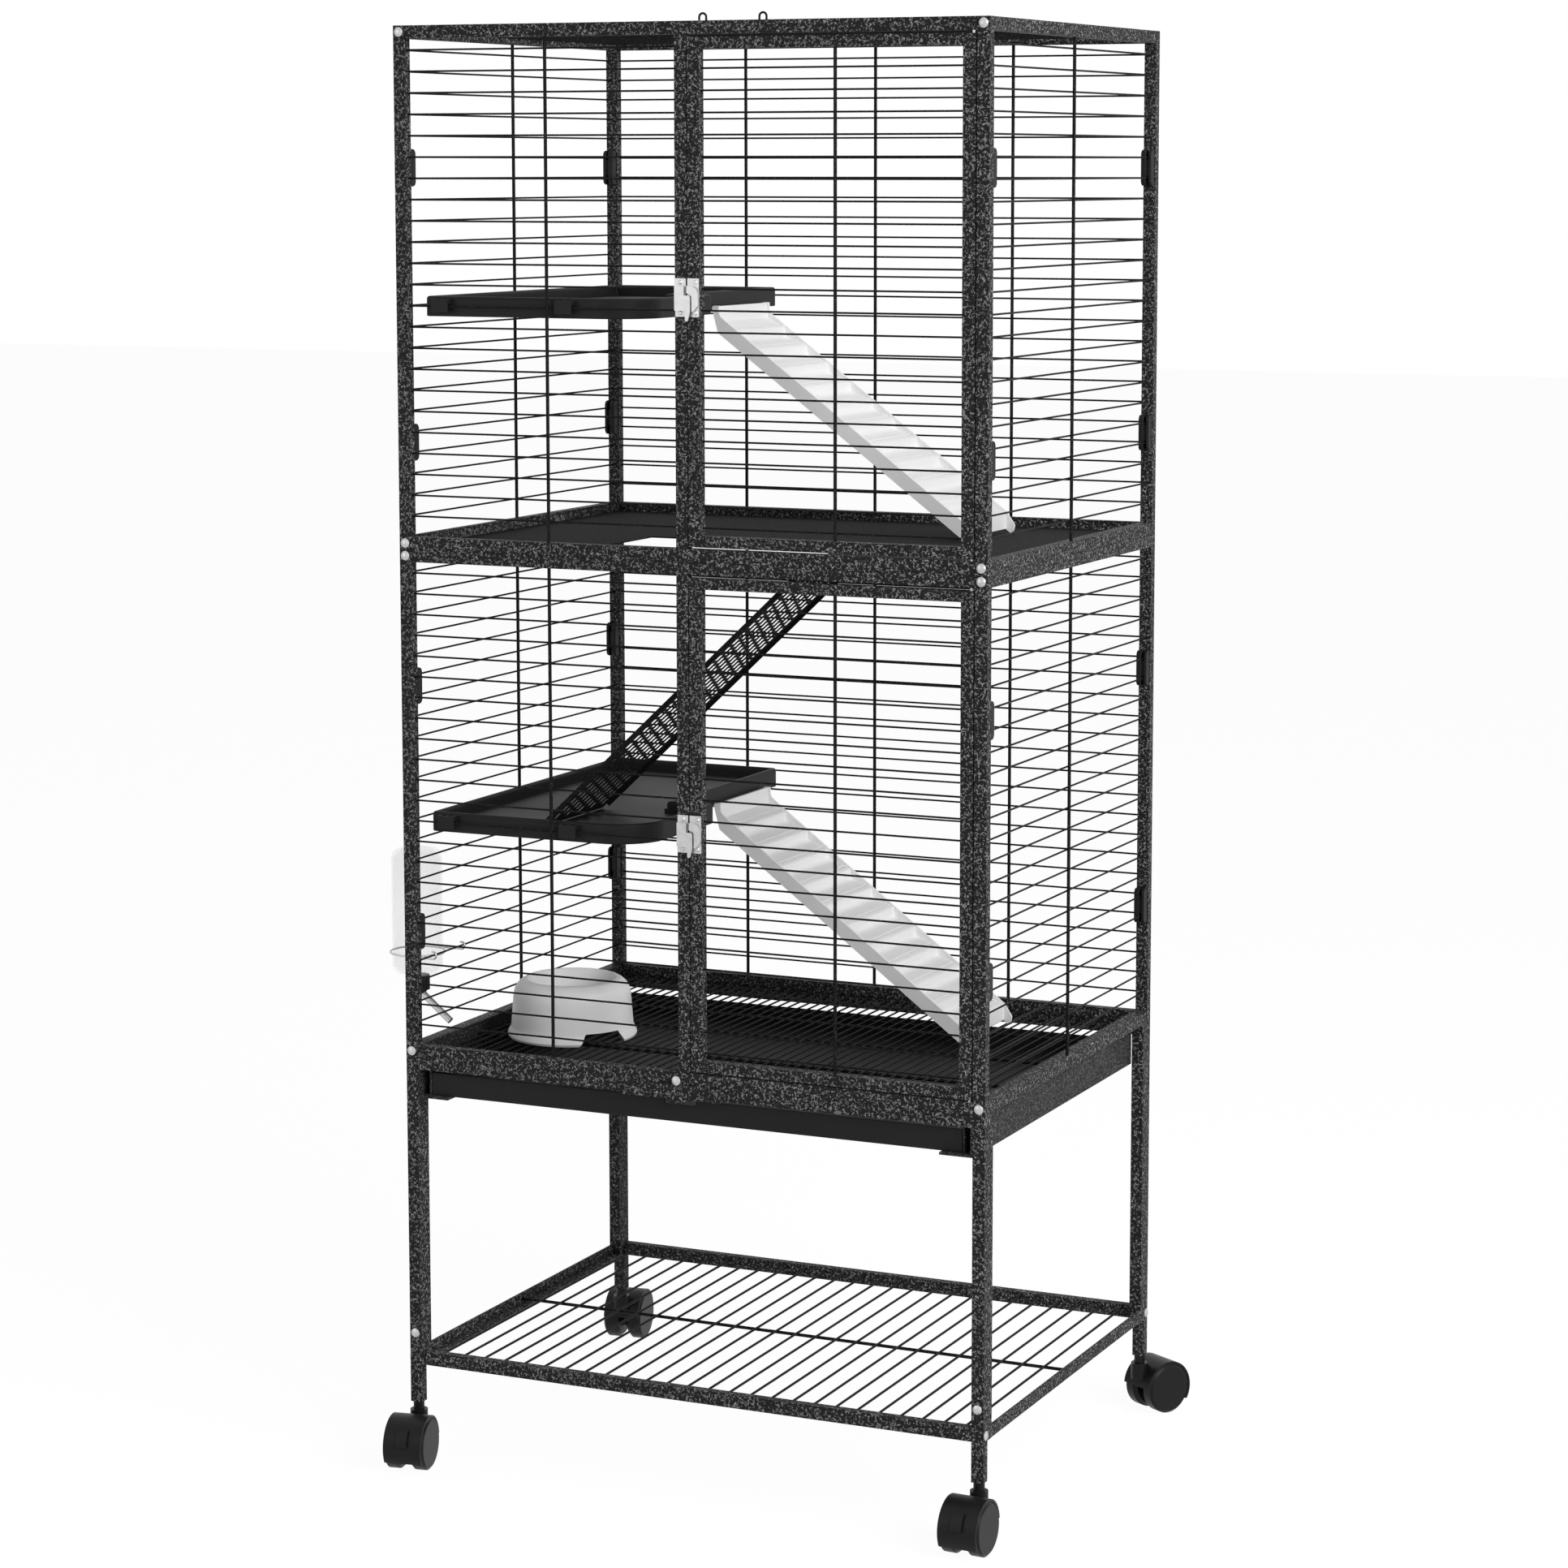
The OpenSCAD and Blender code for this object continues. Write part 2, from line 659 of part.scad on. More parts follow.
// Flat on its post and rounded at its free end, drawn in Y and Z
module clip_cheek(x) translate([x[0], 0, 0]) rotate([90, 0, 90]) linear_extrude(x[1] - x[0]) {
  translate([0, -clip_h / 2]) square([clip_reach - clip_r, clip_h]);
  translate([0, -clip_h / 2 + clip_r]) square([clip_reach, clip_h - 2 * clip_r]);
  for (s = [-1, 1]) translate([clip_reach - clip_r, s * (clip_h / 2 - clip_r)]) circle(r = clip_r);
}

module corner_clip() {
  clip_cheek(clip_out);
  clip_cheek(clip_in);
  translate([clip_out[1] - 0.1, 0, -wire_pitch / 2 + wire_d])
    cube([clip_in[0] - clip_out[1] + 0.2, clip_reach - 2, wire_pitch - 2 * wire_d]);
}

module corner_clips() color(black) cage()
  for (row = [[0, clip_top_row], [0, clip_low_row], [1, clip_top_row], [1, clip_high_row]],
       right = [0, 1], back = [0, 1])
    translate([right * cage_w, back * cage_d, row_z(row[0], row[1])])
      mirror([right, 0, 0]) mirror([0, back, 0]) translate([0, tube_d, 0]) corner_clip();

module frame_bolts() color(steel) cage() {
  for (k = [0, 1]) storey_bolts(k) bolt();
  leg_bolts() bolt();
  translate([lock_x, -lock_gap - lock_t, lock_bolt_z]) rotate([90, 0, 0]) bolt();
}

// ---- mid floor and hatch ramp ----

module mid_floor() color(black) cage() difference() {
  box(in_l, in_r, in_f, in_b, sheet_top - sheet_t, sheet_top);
  box(hatch_x, hatch_x + hatch_w, hatch_y, hatch_y + hatch_d,
      sheet_top - sheet_t - cut, sheet_top + cut);
}

slot_margin = 5;
slot_count = floor((perf_l - 2 * slot_margin - slot_l) / slot_pitch_l + 0.5);

// Drawn level with its head at the left end, then tipped down to the left
module hatch_ramp() color(black) cage() translate([perf_top_x, perf_y, perf_top_z])
  mirror([1, 0, 0]) rotate([0, perf_slope, 0]) {
    difference() {
      translate([0, 0, -perf_t]) cube([perf_l, perf_w, perf_t]);
      for (row = [0 : slot_rows - 1], i = [0 : slot_count - 1])
        translate([slot_margin + (i + (row % 2) / 2) * slot_pitch_l,
                   perf_w / 2 + (row - (slot_rows - 1) / 2) * slot_pitch_w - slot_w / 2,
                   -perf_t - cut])
          cube([slot_l, slot_w, perf_t + 2 * cut]);
    }
    for (y = [0, perf_w - perf_t]) translate([perf_flange_in, y, -perf_flange])
      cube([perf_l - 2 * perf_flange_in, perf_t, perf_flange - perf_t / 2]);
  }

// ---- platforms ----

module plat_outline(inset) {
  x0 = plat_x + inset;
  y0 = plat_y + inset;
  r = plat_r - inset;
  small = max(plat_corner_r - inset, 0.8);
  x1 = plat_x + plat_w - inset;
  x2 = plat_x + plat_back_w - inset;
  y1 = plat_y + plat_front_d - inset;
  y2 = plat_y + plat_d - inset;
  translate([x0 + small, y0]) square([x2 - x0 - 2 * small, y2 - y0]);
  translate([x0, y0 + small]) square([x2 - x0, y2 - y0 - 2 * small]);
  for (at = [[x0 + small, y0 + small], [x0 + small, y2 - small], [x2 - small, y2 - small],
             [x1 - small, y1 - small]])
    translate(at) circle(r = small, $fn = 48);
  translate([x0 + small, y0]) square([x1 - r - x0 - small, y1 - y0]);
  translate([x0 + small, y0 + r]) square([x1 - x0 - small, y1 - y0 - r - small]);
  translate([x0 + small, y0 + r]) square([x1 - x0 - 2 * small, y1 - y0 - r]);
  translate([x1 - r, y0 + r]) circle(r = r, $fn = 64);
}

// Hook over a grille wire, drawn with the platform's wall at y = 0 and the wire in front
hook_up = 7;
hook_down = 5.5;
hook_room = 0.5;
hook_rib = 2.4;
hook_pit = 2.6;
module platform_hook(reach) translate([-hook_w / 2, 0, 0]) {
  base_z = hook_up - hook_pit - hook_t;
  translate([0, -reach, base_z]) cube([hook_w, reach + 0.3, hook_t]);
  translate([0, -reach, -hook_down]) cube([hook_w, hook_t, hook_up + hook_down]);
  for (i = [0 : 2]) translate([i * (hook_w - hook_rib) / 2, -reach, base_z])
    cube([hook_rib, reach + 0.3, hook_t + hook_pit]);
}

module platform(k) {
  z0 = storey_z(k) + plat_rise;
  hook_z = row_z(k, round((storey_z(k) + storey_h - wire_top_drop - z0 - plat_h / 2) / wire_pitch));
  reach = plat_y - wire_in + wire_d / 2 + hook_room + hook_t;
  color(black) cage() {
    difference() {
      translate([0, 0, z0]) linear_extrude(plat_h) plat_outline(0);
      translate([0, 0, z0 + plat_h - plat_hollow]) linear_extrude(plat_hollow + cut)
        plat_outline(plat_rim);
      translate([0, 0, z0 + plat_h - plat_hollow + plat_ledge_h])
        linear_extrude(plat_hollow - plat_ledge_h + cut) plat_outline(plat_rim - plat_ledge);
      translate([0, 0, z0 - cut]) linear_extrude(plat_h - plat_hollow - plat_wall + cut)
        plat_outline(plat_wall);
    }
    for (x = [hook_left_x, hook_right_x]) translate([x, plat_y, hook_z]) platform_hook(reach);
  }
}

// ---- ramps ----

// Side view of a ramp's wall: upright head, slope, rounded foot
ramp_dir = [cos(ramp_slope), -sin(ramp_slope)];
ramp_up = [sin(ramp_slope), cos(ramp_slope)];
ramp_neck = [ramp_head_in, -ramp_head_h];
ramp_foot = ramp_neck + ramp_run * ramp_dir;
module ramp_side() polygon([
  [0, -2], [1.2, 0], [7.4, 0], [7.6, -7], [9.3, -10.8],
  ramp_neck - 3 * ramp_dir + ramp_wall_h * ramp_up,
  ramp_foot - 16 * ramp_dir + ramp_wall_h * ramp_up,
  ramp_foot + [4, 8], ramp_foot + [3, 2], ramp_foot,
  ramp_neck, [4.5, -ramp_head_h + 7]]);

// Side view of the head and the stepped deck between the walls
step_from = 6.6;
step_end = 22.6;
step_l = (ramp_run - step_from - step_end) / ramp_steps;
deck_in = 0.6;
nose_h = ramp_wall_h - 1;
nose_l = 8;
crease_h = nose_h - 1.5;
crease_w = 0.5;
riser_h = 5;
hollow_h = ramp_wall_h - 7.5;
deck_t = [1.8, 1.6];
function on_slope(along, above) = ramp_neck + along * ramp_dir + above * ramp_up;
function nose(s) = on_slope(s + nose_l, nose_h - 0.8);
function crease(s) = [
  on_slope(s - crease_w, crease_h - 0.2), on_slope(s, crease_h - 0.8), on_slope(s + crease_w, crease_h),
  on_slope(s + 0.7 * nose_l, nose_h), nose(s)];
// A step: crease and rounded nose, upright riser, hollow, then the tread up to the next crease
function step_points(s) = concat(crease(s), [
  nose(s) - [0, riser_h], on_slope(s + 1.54 * nose_l, hollow_h + 0.5), on_slope(s + 1.8 * nose_l, hollow_h),
  on_slope(s + 2.1 * nose_l, hollow_h + 0.2), on_slope(s + 2.4 * nose_l, hollow_h + 1.1)]);
steps_top = concat(
  [for (i = [0 : ramp_steps - 1], p = step_points(step_from + i * step_l)) p],
  crease(ramp_run - step_end));
last_drop = (nose_h - 0.8 - deck_in) / cos(ramp_slope);
deck_end = nose(ramp_run - step_end) - [0, last_drop];
module ramp_deck() polygon(concat(
  [[deck_in, -2.6], [1.8, -deck_in], [4.8, -deck_in], [5.4, -5], [6.2, 10.7 - ramp_head_h]],
  steps_top, [deck_end, deck_end - [deck_t[0], 0]],
  [for (i = [len(steps_top) - 1 : -1 : 0]) steps_top[i] - deck_t],
  [[5.3, 7.2 - ramp_head_h]]));

module ramp(k) color(pale) cage() translate([ramp_top_x, ramp_y, storey_z(k) + ramp_head_rise]) {
  for (y = [0, ramp_w - ramp_wall_t]) translate([0, y + ramp_wall_t, 0]) rotate([90, 0, 0])
    linear_extrude(ramp_wall_t) ramp_side();
  translate([0, ramp_w - 1, 0]) rotate([90, 0, 0]) linear_extrude(ramp_w - 2) ramp_deck();
}

// ---- bowl ----

bowl_lip = 2.5;
notch_cut = 30;
module food_bowl() color(pale) cage()
  translate([bowl_x, bowl_y, storey_z(0) + floor_rise + bowl_gap])
  difference() {
    rotate_extrude($fn = 96) difference() {
      polygon([[0, 0], [bowl_foot_d / 2 - 1.3, 0], [bowl_foot_d / 2, 2.4],
               [bowl_foot_d / 2 - 0.8, 5.5], [bowl_foot_d / 2 - 2.6, 8.6], [bowl_body_d / 2, 10.5],
               [bowl_body_d / 2 - 1.6, bowl_h - 27], [bowl_body_d / 2 - 2.4, bowl_h - 15.5],
               [bowl_body_d / 2 - 3.7, bowl_h - 10], [bowl_body_d / 2 - 6, bowl_h - 5.8],
               [bowl_body_d / 2 - 9.5, bowl_h - 2.4], [bowl_mouth_d / 2 + 2.6, bowl_h],
               [0, bowl_h]]);
      polygon([[-cut, bowl_h - bowl_depth], [bowl_mouth_d / 2 - 16, bowl_h - bowl_depth],
               [bowl_mouth_d / 2 - 8, bowl_h - bowl_depth + 5], [bowl_mouth_d / 2 - bowl_lip, bowl_h - 6],
               [bowl_mouth_d / 2, bowl_h], [bowl_mouth_d / 2, bowl_h + cut], [-cut, bowl_h + cut]]);
      polygon([[-cut, -cut], [bowl_body_d / 2 - 3, -cut], [bowl_body_d / 2 - 4, bowl_h - 20],
               [bowl_body_d / 2 - 10, bowl_h - 9], [bowl_mouth_d / 2 - 0.5, bowl_h - 7],
               [bowl_mouth_d / 2 - 5.5, bowl_h - bowl_depth + 4],
               [bowl_mouth_d / 2 - 14.5, bowl_h - bowl_depth - 2.5], [-cut, bowl_h - bowl_depth - 2.5]]);
    }
    for (a = [-32, 148]) rotate([0, 0, a]) translate([bowl_body_d / 2 - 12, 0, 0])
      rotate([90, 0, 90]) linear_extrude(notch_cut)
        polygon([[-bowl_notch_w / 2, -cut], [bowl_notch_w / 2, -cut],
                 [bowl_notch_w / 2 - 8, bowl_notch_h], [-bowl_notch_w / 2 + 8, bowl_notch_h]]);
  }

// ---- bottle ----

bottle_z = row_z(0, holder_row) - bottle_drop;
module at_bottle() cage() translate([-bottle_out, bottle_y, bottle_z]) children();

bottle_neck_r = cap_d / 2 - 2.5;
module bottle_body() color(clear) at_bottle() rotate_extrude($fn = 64) difference() {
  polygon([[0, 0], [bottle_neck_r, 0], [bottle_neck_r, 1.5], [bottle_d / 2 - 5, 3],
           [bottle_d / 2 - 1.2, 6], [bottle_d / 2, 10], [bottle_d / 2, bottle_h - 9],
           [bottle_d / 2 - 1.5, bottle_h - 4], [bottle_d / 2 - 5, bottle_h - 1],
           [bottle_d / 2 - 9, bottle_h], [0, bottle_h]]);
  polygon([[-cut, -cut], [bottle_neck_r - bottle_wall, -cut], [bottle_neck_r - bottle_wall, 3],
           [bottle_d / 2 - 6, bottle_wall + 3],
           [bottle_d / 2 - bottle_wall, 11], [bottle_d / 2 - bottle_wall, bottle_h - 10],
           [bottle_d / 2 - 9, bottle_h - bottle_wall], [-cut, bottle_h - bottle_wall]]);
}

cap_low = -cap_h;
module cap_shape(more) translate([0, 0, cap_low]) {
  translate([0, 0, 4 - more]) cylinder(d = cap_d + 2 * more, h = cap_h - 4);
  cylinder(d1 = cap_d - 9 + 2 * more, d2 = cap_d - 3 + 2 * more, h = 4.1);
}
module bottle_cap() color(black) at_bottle() cap_shape(0);

// The spout leans from the cap through the side wires into the cage
spout_tilt = 51;
spout_l = 46;
module bottle_spout() color(steel) at_bottle() difference() {
  translate([0, 0, cap_low + 4]) rotate([0, 180 - spout_tilt, 0])
    cylinder(d = spout_d, h = spout_l, $fn = 32);
  cap_shape(0.01);
}

// Ring round the bottle with two arms that close round a wire of the left grille
holder_r = bottle_d / 2 + holder_gap + holder_wire_d / 2;
holder_arm_y = 28;
holder_bend_r = holder_wire_d / 2 + wire_d / 2 + 1.6;
module bottle_holder() color(steel) cage() {
  hang_z = row_z(0, holder_row);
  ring_z = hang_z - holder_bend_r;
  translate([-bottle_out, bottle_y, ring_z]) rotate_extrude($fn = 64)
    translate([holder_r, 0]) circle(d = holder_wire_d, $fn = wire_fn);
  for (s = [-1, 1]) translate([0, bottle_y + s * holder_arm_y, 0]) {
    translate([-bottle_out + 1, 0, ring_z]) rotate([0, 90, 0])
      cylinder(d = holder_wire_d, h = bottle_out - 1 + wire_in, $fn = wire_fn);
    translate([wire_in, 0, hang_z]) rotate([90, 0, 0]) rotate([0, 0, -90])
      rotate_extrude(angle = 200, $fn = 48) translate([holder_bend_r, 0])
        circle(d = holder_wire_d, $fn = wire_fn);
  }
}

// ---- floor, tray, runners and lock ----

floor_w = in_r - in_l - 2 * runner_t;
module floor_grille() level_grille(storey_z(0) + floor_rise - wire_d / 2,
  in_l + runner_t + first_in(floor_w, floor_pitch), wires_in(floor_w, floor_pitch), floor_pitch,
  wire_d, cross_stays, in_l + runner_t, in_r - runner_t);

tray_notch_w = 2 * lock_tab_r + 8;
module tray() color(black) cage() difference() {
  box(tray_l, tray_l + tray_w, tray_y, tray_y + tray_d, tray_z, tray_z + tray_h);
  box(tray_l + tray_wall, tray_l + tray_w - tray_wall, tray_y + tray_wall,
      tray_y + tray_d - tray_wall, tray_z + tray_wall, tray_z + tray_h + cut);
  box(lock_x - tray_notch_w / 2, lock_x + tray_notch_w / 2, tray_y - cut, tray_y + tray_wall + cut,
      lock_low - lock_tab_drop - 1, tray_z + tray_h + cut);
}

module runner() {
  box(in_l, in_l + runner_t, 0, in_b - (leg_d - tube_d) - runner_end, runner_low, stand_h + tube_w);
  box(in_l, in_l + runner_flange, 0, in_b - (leg_d - tube_d) - runner_end,
      runner_low, runner_low + runner_t);
  box(tray_l - guide_gap - runner_t, tray_l - guide_gap, tray_y, in_b - (leg_d - tube_d) - runner_end,
      runner_low, cross_rail_z - 1);
}
module runner_cut() difference() {
  runner();
  box(in_l - cut, in_l + runner_flange, -cut, in_f, cross_rail_z, stand_h + tube_w + cut);
}
module tray_runners() color(coat) cage() {
  runner_cut();
  translate([cage_w, 0, 0]) mirror([1, 0, 0]) runner_cut();
}

module tray_lock() color(coat) cage() translate([lock_x, 0, 0]) difference() {
  translate([0, -lock_gap - lock_t, 0]) translate([0, lock_t, 0]) rotate([90, 0, 0])
    linear_extrude(lock_t) {
      polygon([[-lock_l / 2 - 4, lock_low + 1], [-lock_l / 2, lock_low], [lock_l / 2 - 10, lock_low],
               [lock_l / 2 - 4, lock_low + 5], [lock_l / 2 - 6, lock_low + lock_h],
               [-lock_l / 2, lock_low + lock_h]]);
      translate([0, lock_bolt_z]) circle(r = 6);
      intersection() {
        translate([0, lock_low + lock_tab_r - lock_tab_drop]) circle(r = lock_tab_r);
        translate([-lock_tab_r, lock_low - lock_tab_drop])
          square([2 * lock_tab_r, lock_tab_drop + 1]);
      }
    }
  translate([0, 0, lock_bolt_z]) rotate([90, 0, 0])
    cylinder(d = bolt_d + 2 * run_gap, h = lock_gap + lock_t + cut);
}

// ---- stand ----

module stand_legs() color(coat) cage() difference() {
  for (x = [0, in_r], back = [0, 1]) translate([x, back * cage_d, 0]) mirror([0, back, 0]) {
    box(0, tube_w, 0, leg_d, shelf_z, stand_h);
    box(0, tube_w, 0, tube_d, socket_z, shelf_z + cut);
  }
  leg_bolts() bolt_hole();
}

module stand_cross_rails() color(coat) cage() for (y = [0, in_b])
  box(in_l, in_r, y, y + tube_d, cross_rail_z, stand_h);

module shelf_rails() color(coat) cage() {
  for (y = [0, in_b]) box(in_l, in_r, y, y + tube_d, shelf_z, shelf_z + shelf_rail_h);
  for (x = [0, cage_w - shelf_side_t])
    box(x, x + shelf_side_t, leg_d, cage_d - leg_d, shelf_z, shelf_z + shelf_side_h);
  for (x = [0, in_r])
    box(x, x + tube_w, leg_d, cage_d - leg_d, shelf_z, shelf_z + shelf_side_t);
}

shelf_last_room = 8;
module shelf_grille() level_grille(shelf_z + shelf_rail_h - shelf_wire_drop, in_l + shelf_first,
  wires_in(in_r - in_l - shelf_first - shelf_last_room, shelf_pitch) + 1, shelf_pitch,
  shelf_wire_d, 1, shelf_side_t, cage_w - shelf_side_t);

// ---- casters ----

// turn, and whether it is at the right and at the back
CASTERS = [[turn_fl, 0, 0], [turn_fr, 1, 0], [turn_bl, 0, 1], [turn_br, 1, 1]];
wheel_w = (wheels_w - wheels_gap) / 2;
hood_r = wheel_d / 2 + hood_gap + hood_t;
hood_w = wheels_w - 2 * hood_inset;

skirt_drop = 14;
hood_front_rise = 2.8;
web_t = wheels_gap - 2;
axle_boss_d = 16;
wheel_bevel = 4;

// Drawn with the stem on Z and the axle behind it
module at_caster(i) cage() translate([CASTERS[i][1] ? cage_w - stem_x : stem_x,
                                      CASTERS[i][2] ? cage_d - stem_y : stem_y, 0])
  rotate([0, 0, CASTERS[i][0]]) children();

module caster_stems() color(black) for (i = [0 : 3]) at_caster(i)
  translate([0, 0, boss_low + 1]) cylinder(d = stem_d, h = socket_z - boss_low - 1);

// A cylinder along X about the axle
module axle_cyl(d, x0, x1) translate([x0, trail, wheel_d / 2]) rotate([0, 90, 0])
  cylinder(d = d, h = x1 - x0);

// A wheel's outline, grown by a gap for the room that the hood leaves round it
module wheel_shape(gap) for (s = [0, 1]) mirror([s, 0, 0])
  translate([wheels_gap / 2, trail, wheel_d / 2]) rotate([0, 90, 0]) {
    translate([0, 0, -gap]) cylinder(d1 = wheel_d - 7, d2 = wheel_d + 2 * gap, h = wheel_bevel + gap);
    translate([0, 0, wheel_bevel - cut / 10]) cylinder(d = wheel_d + 2 * gap, h = wheel_w - wheel_bevel - 2);
    translate([0, 0, wheel_w - 2.2]) cylinder(d1 = wheel_d + 2 * gap, d2 = wheel_d - 5, h = 2.2 + gap);
  }

// The hood reaches down to its skirt behind, and to just above the axle at the stem
module hood_shell() difference() {
  axle_cyl(2 * hood_r, -hood_w / 2, hood_w / 2);
  translate([-wheels_w, -wheel_d, -wheel_d])
    cube([2 * wheels_w, wheel_d + trail, wheel_d * 1.5 + hood_front_rise]);
  translate([-wheels_w, trail - cut, -wheel_d])
    cube([2 * wheels_w, 2 * wheel_d, wheel_d * 1.5 - skirt_drop]);
}

module caster_hood(i) color(black) at_caster(i) difference() {
  union() {
    hood_shell();
    translate([0, 0, boss_low - 1]) cylinder(d = boss_d, h = boss_top - boss_low + 1);
    translate([-web_t / 2, 0, boss_low - 1]) cube([web_t, trail, boss_top - boss_low - 2]);
    axle_cyl(axle_boss_d, -web_t / 2, web_t / 2);
  }
  translate([0, 0, boss_low]) cylinder(d = stem_d + 2 * run_gap, h = boss_top);
  axle_cyl(axle_d + 2 * run_gap, -wheels_gap, wheels_gap);
  wheel_shape(hood_gap);
}

module caster_wheels(i) color(black) at_caster(i) {
  wheel_shape(0);
  axle_cyl(axle_d, -wheels_gap, wheels_gap);
}

// A curved tab on the skirt, hinged at its lower end
brake_t = 2.4;
brake_gap = 0.3;
brake_low = 8;
brake_high = 42;
module brake_lever(i) color(black) at_caster(i) translate([-brake_w / 2, trail, wheel_d / 2])
  rotate([90, 0, 90]) rotate([0, 0, brake_low])
    rotate_extrude(angle = brake_high - brake_low, $fn = 96)
      translate([hood_r + brake_gap, 0]) square([brake_t, brake_w]);

storey_posts(0);  // lower_posts
storey_posts(1);  // upper_posts
centre_stiles();
level_rails(storey_z(0));  // lower_bottom_rails
level_rails(storey_z(1) - tube_w);  // lower_top_rails
level_rails(storey_z(1));  // upper_bottom_rails
level_rails(storey_z(2) - tube_w);  // upper_top_rails
front_grille(0);  // lower_front_grille
back_grille(0);  // lower_back_grille
left_grille(0);  // lower_left_grille
right_grille(0);  // lower_right_grille
front_grille(1);  // upper_front_grille
back_grille(1);  // upper_back_grille
left_grille(1);  // upper_left_grille
right_grille(1);  // upper_right_grille
roof_grille();
roof_loops();
door_frame(0);  // lower_door_frame
door_frame(1);  // upper_door_frame
door_grille(0);  // lower_door_grille
door_grille(1);  // upper_door_grille
door_hinge_pins();
latch_strike(0);  // lower_latch_strike
latch_strike(1);  // upper_latch_strike
latch_keeper(0);  // lower_latch_keeper
latch_keeper(1);  // upper_latch_keeper
latch_lever(0);  // lower_latch_lever
latch_lever(1);  // upper_latch_lever
corner_clips();
frame_bolts();
mid_floor();
hatch_ramp();
platform(0);  // lower_platform
platform(1);  // upper_platform
ramp(0);  // lower_ramp
ramp(1);  // upper_ramp
food_bowl();
bottle_body();
bottle_cap();
bottle_spout();
bottle_holder();
floor_grille();
tray();
tray_runners();
tray_lock();
stand_legs();
stand_cross_rails();
shelf_rails();
shelf_grille();
caster_stems();
caster_hood(0);  // caster_hood_front_left
caster_hood(1);  // caster_hood_front_right
caster_hood(2);  // caster_hood_back_left
caster_hood(3);  // caster_hood_back_right
caster_wheels(0);  // caster_wheels_front_left
caster_wheels(1);  // caster_wheels_front_right
caster_wheels(2);  // caster_wheels_back_left
caster_wheels(3);  // caster_wheels_back_right
brake_lever(0);  // brake_lever_left
brake_lever(1);  // brake_lever_right
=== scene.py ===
"""Looks of a ferret cage on a rolling stand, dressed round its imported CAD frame.

Everything is in metres in the frame of the pack: X to the right seen from the
front, Y to the back and Z up from the floor. MM turns millimetres into metres.
"""

import json
import math

import bpy
from mathutils import Matrix, Vector


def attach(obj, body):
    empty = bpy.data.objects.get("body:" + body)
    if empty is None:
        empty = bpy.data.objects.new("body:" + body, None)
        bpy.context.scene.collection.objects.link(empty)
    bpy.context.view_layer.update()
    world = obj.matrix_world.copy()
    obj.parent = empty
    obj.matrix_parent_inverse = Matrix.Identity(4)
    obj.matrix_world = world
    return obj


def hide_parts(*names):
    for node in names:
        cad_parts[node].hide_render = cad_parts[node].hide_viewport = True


MM = 0.001

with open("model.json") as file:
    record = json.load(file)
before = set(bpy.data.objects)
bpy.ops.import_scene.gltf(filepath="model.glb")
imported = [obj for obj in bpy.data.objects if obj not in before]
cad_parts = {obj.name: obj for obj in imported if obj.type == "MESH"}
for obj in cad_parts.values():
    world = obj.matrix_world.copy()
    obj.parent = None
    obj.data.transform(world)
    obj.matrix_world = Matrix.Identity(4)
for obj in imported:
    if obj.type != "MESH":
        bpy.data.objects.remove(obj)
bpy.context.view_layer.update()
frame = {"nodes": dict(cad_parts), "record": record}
NODES = frame["nodes"]
BODY_OF = {
    node: body
    for body, members in frame["record"]["behaviour"]["bodies"].items()
    for node in members
}


# ---- finishes ----


class Value:
    """A node's output on which Python's operators add Math nodes."""

    def __init__(self, finish, socket):
        self.finish = finish
        self.socket = socket

    def math(self, operation, first, second):
        return self.finish.node("Math", {"operation": operation}, {0: first, 1: second})

    def __add__(self, other):
        return self.math("ADD", self, other)

    def __radd__(self, other):
        return self.math("ADD", other, self)

    def __rsub__(self, other):
        return self.math("SUBTRACT", other, self)

    def __mul__(self, other):
        return self.math("MULTIPLY", self, other)

    def __rmul__(self, other):
        return self.math("MULTIPLY", other, self)

    def __or__(self, other):
        return self.math("MAXIMUM", self, other)


class Finish:
    """A material or world whose nodes are added one call at a time."""

    def __init__(self, name, holder=None):
        self.holder = holder or bpy.data.materials.new(name)
        self.holder.use_nodes = True
        self.tree = self.holder.node_tree
        self.tree.nodes.clear()

    def node(self, kind, settings=None, values=None, out=0):
        """Adds a node, with its settings first and then its sockets' values or links."""
        added = self.tree.nodes.new("ShaderNode" + kind)
        for name, value in (settings or {}).items():
            setattr(added, name, value)
        for name, value in (values or {}).items():
            if isinstance(value, Value):
                self.tree.links.new(value.socket, added.inputs[name])
            else:
                added.inputs[name].default_value = value
        return Value(self, added.outputs[out]) if added.outputs else None

    def place(self):
        return self.node("TexCoord", out="Object")

    def noise(self, where, scale, detail=2.0, roughness=0.5, out=0):
        return self.node(
            "TexNoise",
            None,
            {"Vector": where, "Scale": scale, "Detail": detail, "Roughness": roughness},
            out,
        )

    def step(self, value, low, high):
        """0 below low and 1 above high, smooth between them."""
        return self.node(
            "MapRange",
            {"interpolation_type": "SMOOTHSTEP"},
            {"Value": value, "From Min": low, "From Max": high},
        )

    def blend(self, factor, first, second):
        return self.node("Mix", {"data_type": "RGBA"}, {0: factor, 6: first, 7: second}, 2)

    def bump(self, height, strength, distance):
        return self.node(
            "Bump", None, {"Height": height, "Strength": strength, "Distance": distance}
        )

    def moved(self, where, pushed_by, reach):
        """A place pushed about by a noise's colour, by up to half its reach each way."""
        return self.node(
            "VectorMath",
            {"operation": "MULTIPLY_ADD"},
            {0: pushed_by, 1: (reach,) * 3, 2: where},
        )

    def surface(self, **sockets):
        """The Principled shader, joined to the output."""
        shader = self.node("BsdfPrincipled", None, sockets)
        self.node("OutputMaterial", None, {"Surface": shader})
        return self.holder


